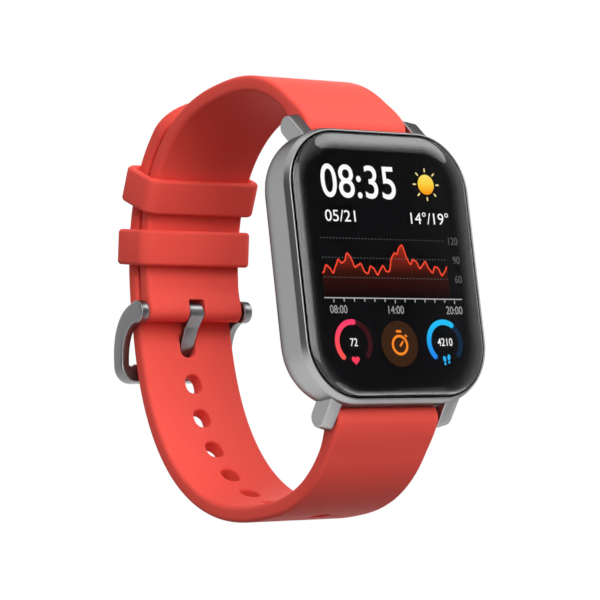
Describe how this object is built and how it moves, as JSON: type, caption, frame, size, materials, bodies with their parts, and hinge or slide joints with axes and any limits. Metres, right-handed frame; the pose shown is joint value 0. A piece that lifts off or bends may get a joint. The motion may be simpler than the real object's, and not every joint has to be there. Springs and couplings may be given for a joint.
{
  "type": "gps running watch",
  "caption": "Square running watch with a metal case, black curved glass, side push button and a coral silicone strap closed in a loop by a tang buckle and keepers.",
  "frame": {"origin": "middle of the sensor window's outer face, where the back of the watch meets the wrist", "axes": "+Y into the wrist, so the display faces -Y; +Z towards 12 o'clock; +X towards 3 o'clock, the button's side"},
  "size_m": [0.0373, 0.0628, 0.0724],
  "materials": {
    "case_metal": "bead-blasted grey anodised",
    "glass": "polished, curved edges",
    "black_rubber": "matt",
    "display": "black panel",
    "polyimide": "amber film",
    "black_plastic": "fine moulded texture",
    "board": "solder mask",
    "steel": "satin",
    "battery_wrap": "foil pouch",
    "ceramic": "matt",
    "sensor_glass": "polished dark window",
    "led": "clear lens",
    "gold": "gold plated",
    "silicone": "matt coral red silicone",
    "buckle_steel": "grey satin"
  },
  "bodies": {
    "case": {"case_frame": "case_metal", "front_glass": "glass", "glass_gasket": "black_rubber", "display_panel": "display", "display_flex": "polyimide", "inner_frame": "black_plastic", "main_board": "board", "board_screw_1": "steel", "board_screw_2": "steel", "board_screw_3": "steel", "board_screw_4": "steel", "shield_can": "steel", "battery": "battery_wrap", "vibration_motor": "steel", "gps_antenna": "ceramic", "rear_seal": "black_rubber", "rear_cover": "black_plastic", "sensor_window": "sensor_glass", "sensor_board": "board", "sensor_led_1": "led", "sensor_led_2": "led", "photodiode_1": "display", "photodiode_2": "display", "charge_contact_1": "gold", "charge_contact_2": "gold", "button_seal": "black_rubber", "button_switch": "steel", "lower_spring_bar": "steel", "lower_strap": "silicone"},
    "button": {"side_button": "case_metal", "button_clip": "steel"},
    "upper_band": {"upper_strap": "silicone", "upper_spring_bar": "steel", "fixed_keeper": "silicone", "buckle_pin": "steel"},
    "upper_release": {"upper_quick_release": "steel"},
    "lower_release": {"lower_quick_release": "steel"},
    "keeper": {"free_keeper": "silicone"},
    "buckle": {"buckle_frame": "buckle_steel"},
    "tongue": {"tongue": "buckle_steel"}
  },
  "joints": [
    {"name": "button_press", "type": "slide", "parent": "case", "child": "button", "axis": [-1, 0, 0], "range_m": [0, 0.0005], "stiffness_N_per_m": 3000},
    {"name": "upper_strap_pivot", "type": "hinge", "parent": "case", "child": "upper_band", "pos_m": [0, -0.00405, 0.02325], "axis": [1, 0, 0], "range_deg": [-6, 8], "stiffness_Nm_per_rad": 0.3, "deforming": ["lower_strap"]},
    {"name": "free_keeper_slide", "type": "hinge", "parent": "upper_band", "child": "keeper", "pos_m": [0, 0.01592, 0.00825], "axis": [1, 0, 0], "range_deg": [-4, 8]},
    {"name": "buckle_frame_pivot", "type": "hinge", "parent": "upper_band", "child": "buckle", "pos_m": [0, 0.0439, 0.0026], "axis": [1, 0, 0], "range_deg": [0, 80]},
    {"name": "tongue_pivot", "type": "hinge", "parent": "upper_band", "child": "tongue", "pos_m": [0, 0.0439, 0.0026], "axis": [1, 0, 0], "range_deg": [-95, 0]},
    {"name": "upper_release_slide", "type": "slide", "parent": "upper_band", "child": "upper_release", "axis": [-1, 0, 0], "range_m": [0, 0.0015], "stiffness_N_per_m": 400},
    {"name": "lower_release_slide", "type": "slide", "parent": "case", "child": "lower_release", "axis": [-1, 0, 0], "range_m": [0, 0.0015], "stiffness_N_per_m": 400}
  ]
}
